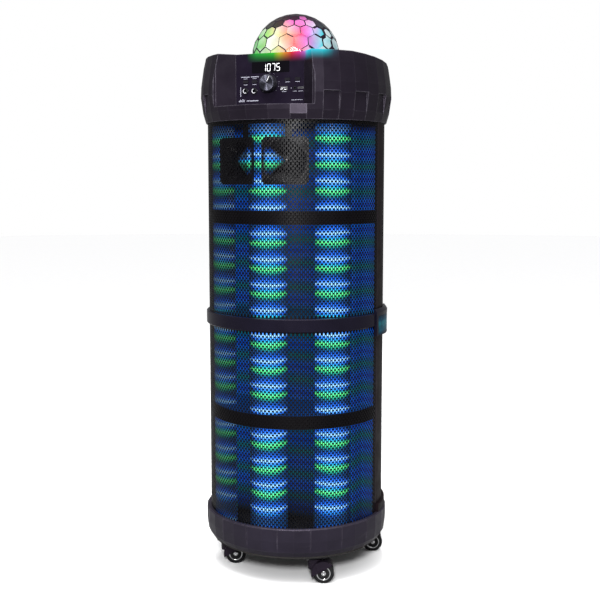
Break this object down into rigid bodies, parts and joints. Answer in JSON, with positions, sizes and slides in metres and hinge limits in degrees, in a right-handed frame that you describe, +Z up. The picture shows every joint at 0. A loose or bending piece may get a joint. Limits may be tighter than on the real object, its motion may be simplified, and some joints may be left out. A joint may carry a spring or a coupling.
{
  "type": "party speaker",
  "caption": "Tall round party speaker on swivel casters, with a lit perforated grille, faceted crown, control panel and turning crystal light dome.",
  "frame": {"origin": "on the column's vertical axis at floor level, under the four casters", "axes": "+Z up along the column, -Y towards the front with the control panel, +X to the viewer's right"},
  "size_m": [0.387, 0.3824, 1.133],
  "materials": {
    "crown_plastic": "moulded black plastic, fine satin grain",
    "skirt_plastic": "moulded black plastic, fine satin grain",
    "cabinet_skin": "dark brown-black textured skin",
    "grille_steel": "perforated steel, satin black paint",
    "gloss_black": "gloss black",
    "panel_plastic": "satin black with printed markings",
    "smoked_window": "smoked gloss",
    "lamp_lens": "tinted gloss lens",
    "diffuser": "frosted light diffuser",
    "crystal": "clear faceted crystal",
    "rubber": "smooth rubber",
    "caster_black": "black moulded nylon",
    "bright_steel": "bright plated",
    "zinc_steel": "zinc plated",
    "knob_metal": "dark anodised, spun face",
    "key_plastic": "gloss black keys",
    "board_wood": "painted fibreboard",
    "driver_cone": "pressed paper cone",
    "soft_rubber": "soft rubber",
    "driver_steel": "black pressed steel",
    "circuit_board": "green laminate",
    "bare_aluminium": "extruded",
    "battery_wrap": "shrink wrap",
    "motor_steel": "rolled steel can",
    "panel_steel": "powder coat"
  },
  "bodies": {
    "cabinet": {"rear_cabinet": "cabinet_skin", "upper_grille": "grille_steel", "lower_grille": "grille_steel", "grille_edge_trims": "gloss_black", "joining_band": "gloss_black", "side_lamp_housings": "crown_plastic", "side_lamp_lenses": "lamp_lens", "crown_shell": "crown_plastic", "crown_deck": "crown_plastic", "control_panel": "panel_plastic", "display_window": "smoked_window", "mic_jacks": "zinc_steel", "usb_port": "zinc_steel", "aux_jack": "key_plastic", "card_slot": "zinc_steel", "control_board": "circuit_board", "base_skirt": "skirt_plastic", "base_board": "board_wood", "caster_plates": "zinc_steel", "cabinet_screws": "zinc_steel", "top_board": "board_wood", "speaker_baffle": "board_wood", "section_dividers": "board_wood", "light_tube_left": "diffuser", "light_tube_centre": "diffuser", "light_tube_right": "diffuser", "led_strips": "circuit_board", "tweeter_left": "driver_cone", "tweeter_right": "driver_cone", "woofer_chassis": "driver_steel", "woofer_surrounds": "soft_rubber", "amplifier_board": "circuit_board", "heat_sink": "bare_aluminium", "power_supply": "zinc_steel", "battery_pack": "battery_wrap", "rear_panel": "panel_steel", "power_inlet": "key_plastic", "bass_port": "crown_plastic", "dome_plinth": "crown_plastic", "dome_led_board": "circuit_board", "dome_motor": "motor_steel"},
    "dome": {"crystal_dome": "crystal", "dome_spindle": "caster_black"},
    "volume_knob": {"volume_knob": "knob_metal"},
    "mode_button": {"mode_button": "key_plastic"},
    "light_button": {"light_button": "key_plastic"},
    "previous_button": {"previous_button": "key_plastic"},
    "next_button": {"next_button": "key_plastic"},
    "power_switch": {"power_switch": "key_plastic"},
    "upper_woofer_cone": {"upper_woofer_cone": "driver_cone"},
    "lower_woofer_cone": {"lower_woofer_cone": "driver_cone"},
    "caster_fork_front_right": {"caster_fork_front_right": "caster_black"},
    "caster_wheel_front_right": {"caster_wheel_front_right": "rubber"},
    "caster_fork_front_left": {"caster_fork_front_left": "caster_black"},
    "caster_wheel_front_left": {"caster_wheel_front_left": "rubber"},
    "caster_fork_rear_right": {"caster_fork_rear_right": "caster_black"},
    "caster_wheel_rear_right": {"caster_wheel_rear_right": "rubber"},
    "caster_fork_rear_left": {"caster_fork_rear_left": "caster_black"},
    "caster_wheel_rear_left": {"caster_wheel_rear_left": "rubber"}
  },
  "joints": [
    {"name": "dome_spin", "type": "hinge", "parent": "cabinet", "child": "dome", "pos_m": [0, 0, 1.043], "axis": [0, 0, 1], "continuous": true},
    {"name": "volume_turn", "type": "hinge", "parent": "cabinet", "child": "volume_knob", "pos_m": [0, -0.128, 0.983], "axis": [0, 1, 0], "continuous": true},
    {"name": "mode_button_press", "type": "slide", "parent": "cabinet", "child": "mode_button", "axis": [0, 1, 0], "range_m": [0, 0.0008], "stiffness_N_per_m": 500},
    {"name": "light_button_press", "type": "slide", "parent": "cabinet", "child": "light_button", "axis": [0, 1, 0], "range_m": [0, 0.0008], "stiffness_N_per_m": 500},
    {"name": "previous_button_press", "type": "slide", "parent": "cabinet", "child": "previous_button", "axis": [0, 1, 0], "range_m": [0, 0.0008], "stiffness_N_per_m": 500},
    {"name": "next_button_press", "type": "slide", "parent": "cabinet", "child": "next_button", "axis": [0, 1, 0], "range_m": [0, 0.0008], "stiffness_N_per_m": 500},
    {"name": "power_rock", "type": "hinge", "parent": "cabinet", "child": "power_switch", "pos_m": [-0.048, 0.147, 0.676], "axis": [1, 0, 0], "range_deg": [0, 20]},
    {"name": "upper_cone_travel", "type": "slide", "parent": "cabinet", "child": "upper_woofer_cone", "axis": [0, -1, 0], "range_m": [-0.004, 0.004], "stiffness_N_per_m": 1500},
    {"name": "lower_cone_travel", "type": "slide", "parent": "cabinet", "child": "lower_woofer_cone", "axis": [0, -1, 0], "range_m": [-0.004, 0.004], "stiffness_N_per_m": 1500},
    {"name": "swivel_front_right", "type": "hinge", "parent": "cabinet", "child": "caster_fork_front_right", "pos_m": [0.09027, -0.11979, 0.05], "axis": [0, 0, 1], "continuous": true},
    {"name": "roll_front_right", "type": "hinge", "parent": "caster_fork_front_right", "child": "caster_wheel_front_right", "pos_m": [0.1077, -0.11222, 0.021], "axis": [-0.3987, 0.9171, 0], "continuous": true},
    {"name": "swivel_front_left", "type": "hinge", "parent": "cabinet", "child": "caster_fork_front_left", "pos_m": [-0.11979, -0.09027, 0.05], "axis": [0, 0, 1], "continuous": true},
    {"name": "roll_front_left", "type": "hinge", "parent": "caster_fork_front_left", "child": "caster_wheel_front_left", "pos_m": [-0.10237, -0.0827, 0.021], "axis": [-0.3987, 0.9171, 0], "continuous": true},
    {"name": "swivel_rear_right", "type": "hinge", "parent": "cabinet", "child": "caster_fork_rear_right", "pos_m": [0.11979, 0.09027, 0.05], "axis": [0, 0, 1], "continuous": true},
    {"name": "roll_rear_right", "type": "hinge", "parent": "caster_fork_rear_right", "child": "caster_wheel_rear_right", "pos_m": [0.13722, 0.09785, 0.021], "axis": [-0.3987, 0.9171, 0], "continuous": true},
    {"name": "swivel_rear_left", "type": "hinge", "parent": "cabinet", "child": "caster_fork_rear_left", "pos_m": [-0.09027, 0.11979, 0.05], "axis": [0, 0, 1], "continuous": true},
    {"name": "roll_rear_left", "type": "hinge", "parent": "caster_fork_rear_left", "child": "caster_wheel_rear_left", "pos_m": [-0.07285, 0.12737, 0.021], "axis": [-0.3987, 0.9171, 0], "continuous": true}
  ]
}
